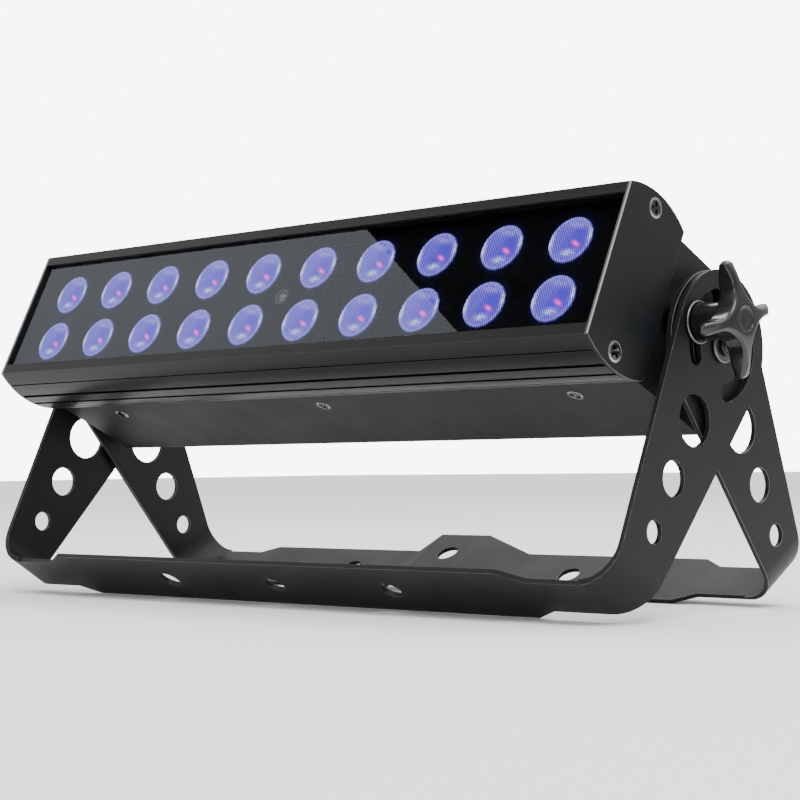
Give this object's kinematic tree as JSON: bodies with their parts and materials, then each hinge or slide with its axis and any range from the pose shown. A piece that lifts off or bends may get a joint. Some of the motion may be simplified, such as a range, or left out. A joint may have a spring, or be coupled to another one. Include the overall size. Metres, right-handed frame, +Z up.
{
  "type": "led strip batten",
  "caption": "Stage LED batten: a barrel-sided lamp housing with a glazed lens face, tilting on two folding U brackets with star-knob clamps.",
  "frame": {"origin": "on the floor, at the middle of the standing lamp's bounding box", "axes": "+X along the batten, +Z up; the lamp face looks towards -Y and up"},
  "size_m": [0.5132, 0.18, 0.2038],
  "materials": {
    "bracket_paint": "charcoal powder coat, satin",
    "extrusion": "black anodised",
    "end_plate_paint": "charcoal powder coat, satin",
    "screw_nickel": "bright nickel plate",
    "window_glass": "clear, glossy",
    "gasket_rubber": "black",
    "board_white": "white solder mask",
    "holder_plastic": "black",
    "lens_plastic": "violet-lit, finely ribbed face",
    "receiver_plastic": "dark grey",
    "cover_paint": "black, fine texture",
    "board_green": "green solder mask",
    "socket_plastic": "black",
    "rocker_plastic": "black",
    "dark_steel": "black zinc",
    "knob_plastic": "black, glossy",
    "stud_steel": "zinc plate"
  },
  "bodies": {
    "front_bracket": {"front_bracket": "bracket_paint", "pivot_washer_right": "dark_steel", "pivot_washer_left": "dark_steel"},
    "rear_bracket": {"rear_bracket": "bracket_paint"},
    "knob_right": {"clamp_knob_right": "knob_plastic", "clamp_stud_right": "stud_steel"},
    "knob_left": {"clamp_knob_left": "knob_plastic", "clamp_stud_left": "stud_steel"},
    "rocker": {"switch_rocker": "rocker_plastic"},
    "housing": {"housing_extrusion": "extrusion", "end_plate_right": "end_plate_paint", "end_plate_left": "end_plate_paint", "end_plate_screw_right_upper": "screw_nickel", "end_plate_screw_right_lower": "screw_nickel", "end_plate_screw_left_upper": "screw_nickel", "end_plate_screw_left_lower": "screw_nickel", "glass_window": "window_glass", "window_gasket": "gasket_rubber", "led_board": "board_white", "lens_holder": "holder_plastic", "lens_upper_01": "lens_plastic", "lens_upper_02": "lens_plastic", "lens_upper_03": "lens_plastic", "lens_upper_04": "lens_plastic", "lens_upper_05": "lens_plastic", "lens_upper_06": "lens_plastic", "lens_upper_07": "lens_plastic", "lens_upper_08": "lens_plastic", "lens_upper_09": "lens_plastic", "lens_upper_10": "lens_plastic", "lens_lower_01": "lens_plastic", "lens_lower_02": "lens_plastic", "lens_lower_03": "lens_plastic", "lens_lower_04": "lens_plastic", "lens_lower_05": "lens_plastic", "lens_lower_06": "lens_plastic", "lens_lower_07": "lens_plastic", "lens_lower_08": "lens_plastic", "lens_lower_09": "lens_plastic", "lens_lower_10": "lens_plastic", "ir_receiver": "receiver_plastic", "rear_housing": "cover_paint", "cover_screw_upper_left": "screw_nickel", "cover_screw_upper_middle": "screw_nickel", "cover_screw_upper_right": "screw_nickel", "cover_screw_lower_left": "screw_nickel", "cover_screw_lower_middle": "screw_nickel", "cover_screw_lower_right": "screw_nickel", "driver_board": "board_green", "power_inlet": "socket_plastic", "power_outlet": "socket_plastic", "switch_bezel": "socket_plastic", "pivot_screw_right": "dark_steel", "pivot_screw_left": "dark_steel", "knob_washer_right": "dark_steel", "knob_washer_left": "dark_steel", "pivot_spacer_right": "dark_steel", "pivot_spacer_left": "dark_steel", "clamp_spacer_right": "dark_steel", "clamp_spacer_left": "dark_steel"}
  },
  "joints": [
    {"name": "rear_bracket_fold", "type": "hinge", "parent": "front_bracket", "child": "rear_bracket", "pos_m": [0, 0.00555, 0.1291], "axis": [1, 0, 0], "range_deg": [-63, 8]},
    {"name": "housing_tilt", "type": "hinge", "parent": "front_bracket", "child": "housing", "pos_m": [0, 0.00555, 0.1291], "axis": [1, 0, 0], "range_deg": [-50, 38]},
    {"name": "knob_right_turn", "type": "hinge", "parent": "housing", "child": "knob_right", "pos_m": [0.244, -0.01489, 0.1392], "axis": [1, 0, 0], "continuous": true},
    {"name": "knob_left_turn", "type": "hinge", "parent": "housing", "child": "knob_left", "pos_m": [-0.244, -0.01489, 0.1392], "axis": [1, 0, 0], "continuous": true},
    {"name": "switch_rock", "type": "hinge", "parent": "housing", "child": "rocker", "pos_m": [-0.112, 0.025, 0.1206], "axis": [1, 0, 0], "range_deg": [0, 20]}
  ]
}
